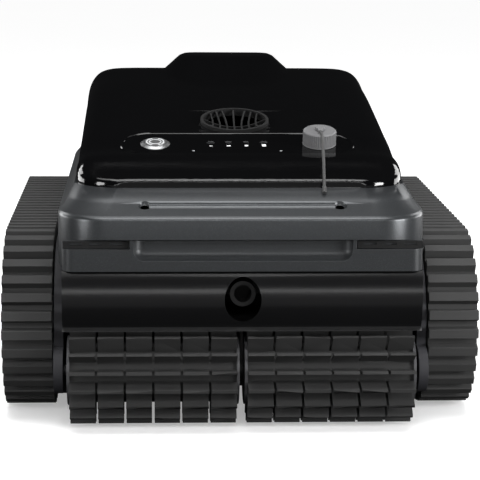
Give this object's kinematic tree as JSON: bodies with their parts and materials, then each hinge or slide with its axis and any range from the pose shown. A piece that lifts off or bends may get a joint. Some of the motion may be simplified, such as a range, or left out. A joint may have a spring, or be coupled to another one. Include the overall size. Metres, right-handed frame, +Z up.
{
  "type": "pool cleaner",
  "caption": "Cordless tracked pool cleaning robot with two brush rollers, a hinged filter lid, a suction pump and a control panel with a capped charging port.",
  "frame": {"origin": "on the floor under the middle of the machine's length and width", "axes": "+Z up, -Y towards the brushes (front), +Y towards the lid's hinge (rear), X across the tracks"},
  "size_m": [0.413, 0.4911, 0.289],
  "materials": {
    "track_rubber": "moulded, cleated",
    "wheel_plastic": "moulded, satin",
    "plate_plastic": "moulded, satin",
    "frame_grey": "satin metallic dark grey",
    "skirt_grey": "satin metallic dark grey",
    "gloss_black": "high gloss",
    "cover_black": "semi gloss",
    "black_plastic": "fine texture",
    "brush_rubber": "soft, matt",
    "roller_plastic": "moulded",
    "gear_plastic": "natural acetal",
    "steel": "turned",
    "motor_metal": "zinc plated",
    "cell_wrap": "shrink film",
    "board_green": "solder mask",
    "contact_brass": "plated",
    "light_window": "diffusing",
    "silver": "satin",
    "cap_grey": "moulded, knurled",
    "tether_rubber": "smooth",
    "seal_rubber": "smooth",
    "basket_plastic": "moulded",
    "mesh_fabric": "fine woven"
  },
  "bodies": {
    "root": {"track_belt_left": "track_rubber", "track_belt_right": "track_rubber", "side_plate_left": "plate_plastic", "side_plate_right": "plate_plastic", "track_guard_left": "plate_plastic", "track_guard_right": "plate_plastic", "gear_cover_left": "plate_plastic", "gear_cover_right": "plate_plastic", "bumper_frame": "frame_grey", "front_skirt": "skirt_grey", "deck_cover": "gloss_black", "control_panel": "gloss_black", "front_cover": "cover_black", "jet_nozzle": "black_plastic", "vent_strips": "black_plastic", "outlet_grille": "black_plastic", "outlet_duct": "black_plastic", "base_tray": "black_plastic", "brush_hanger": "black_plastic", "charge_socket": "black_plastic", "electronics_box": "black_plastic", "box_lid": "black_plastic", "rear_axles": "steel", "hinge_pins": "steel", "tray_screws": "steel", "pump_motor": "motor_metal", "drive_motor_left": "motor_metal", "drive_motor_right": "motor_metal", "battery_cells": "cell_wrap", "control_board": "board_green", "charge_contacts": "contact_brass", "icon_windows": "light_window", "button_bezel": "silver", "tether_anchor": "cap_grey", "filter_basket": "basket_plastic", "filter_mesh": "mesh_fabric"},
    "filter_lid": {"filter_lid": "gloss_black", "lid_seal": "seal_rubber"},
    "power_button": {"power_button": "silver"},
    "cap_swivel": {"cap_swivel": "cap_grey", "cap_tether": "tether_rubber"},
    "charge_cap": {"charge_cap": "cap_grey", "cap_seal": "seal_rubber"},
    "impeller": {"impeller": "basket_plastic"},
    "front_wheel_left": {"front_wheel_left": "wheel_plastic", "drive_gear_left": "steel"},
    "rear_wheel_left": {"rear_wheel_left": "wheel_plastic"},
    "idler_gear_left": {"idler_gear_left": "gear_plastic"},
    "brush_left": {"brush_sleeve_left": "brush_rubber", "brush_roller_left": "roller_plastic", "brush_gear_left": "gear_plastic"},
    "suction_flap_left": {"suction_flap_left": "black_plastic"},
    "front_wheel_right": {"front_wheel_right": "wheel_plastic", "drive_gear_right": "steel"},
    "rear_wheel_right": {"rear_wheel_right": "wheel_plastic"},
    "idler_gear_right": {"idler_gear_right": "gear_plastic"},
    "brush_right": {"brush_sleeve_right": "brush_rubber", "brush_roller_right": "roller_plastic", "brush_gear_right": "gear_plastic"},
    "suction_flap_right": {"suction_flap_right": "black_plastic"}
  },
  "joints": [
    {"name": "lid_hinge", "type": "hinge", "parent": "root", "child": "filter_lid", "pos_m": [0, 0.202, 0.2075], "axis": [-1, 0, 0], "range_deg": [0, 70]},
    {"name": "button_press", "type": "slide", "parent": "root", "child": "power_button", "axis": [0, 0.247, -0.969], "range_m": [0, 0.001], "stiffness_N_per_m": 400, "springref_m": -0.002},
    {"name": "cap_lift", "type": "slide", "parent": "root", "child": "cap_swivel", "axis": [0, -0.247, 0.969], "range_m": [0, 0.0076]},
    {"name": "cap_turn", "type": "hinge", "parent": "cap_swivel", "child": "charge_cap", "pos_m": [0.0735, -0.1114, 0.23688], "axis": [0, -0.247, 0.969], "range_deg": [0, 900]},
    {"name": "impeller_spin", "type": "hinge", "parent": "root", "child": "impeller", "pos_m": [0, -0.04967, 0.168], "axis": [0, 0, 1], "continuous": true},
    {"name": "track_drive_left", "type": "hinge", "parent": "root", "child": "front_wheel_left", "pos_m": [-0.1835, -0.1295, 0.079], "axis": [1, 0, 0], "continuous": true},
    {"name": "rear_wheel_left_spin", "type": "hinge", "parent": "root", "child": "rear_wheel_left", "pos_m": [-0.1835, 0.1665, 0.079], "axis": [1, 0, 0], "continuous": true},
    {"name": "idler_left_spin", "type": "hinge", "parent": "root", "child": "idler_gear_left", "pos_m": [-0.1564, -0.17231, 0.05901], "axis": [1, 0, 0], "continuous": true},
    {"name": "brush_left_spin", "type": "hinge", "parent": "root", "child": "brush_left", "pos_m": [-0.075, -0.20017, 0.046], "axis": [1, 0, 0], "continuous": true},
    {"name": "flap_left_swing", "type": "hinge", "parent": "root", "child": "suction_flap_left", "pos_m": [-0.062, 0.116, 0.022], "axis": [-1, 0, 0], "range_deg": [0, 55]},
    {"name": "track_drive_right", "type": "hinge", "parent": "root", "child": "front_wheel_right", "pos_m": [0.1835, -0.1295, 0.079], "axis": [1, 0, 0], "continuous": true},
    {"name": "rear_wheel_right_spin", "type": "hinge", "parent": "root", "child": "rear_wheel_right", "pos_m": [0.1835, 0.1665, 0.079], "axis": [1, 0, 0], "continuous": true},
    {"name": "idler_right_spin", "type": "hinge", "parent": "root", "child": "idler_gear_right", "pos_m": [0.1564, -0.17231, 0.05901], "axis": [1, 0, 0], "continuous": true},
    {"name": "brush_right_spin", "type": "hinge", "parent": "root", "child": "brush_right", "pos_m": [0.075, -0.20017, 0.046], "axis": [1, 0, 0], "continuous": true},
    {"name": "flap_right_swing", "type": "hinge", "parent": "root", "child": "suction_flap_right", "pos_m": [0.062, 0.116, 0.022], "axis": [-1, 0, 0], "range_deg": [0, 55]}
  ],
  "couplings": [
    {"joint": "cap_lift", "follows": "cap_turn", "m_per_rad": 0.00047746},
    {"joint": "rear_wheel_left_spin", "follows": "track_drive_left", "ratio": 1},
    {"joint": "idler_left_spin", "follows": "track_drive_left", "ratio": -2},
    {"joint": "brush_left_spin", "follows": "track_drive_left", "ratio": 2.1},
    {"joint": "rear_wheel_right_spin", "follows": "track_drive_right", "ratio": 1},
    {"joint": "idler_right_spin", "follows": "track_drive_right", "ratio": -2},
    {"joint": "brush_right_spin", "follows": "track_drive_right", "ratio": 2.1}
  ]
}
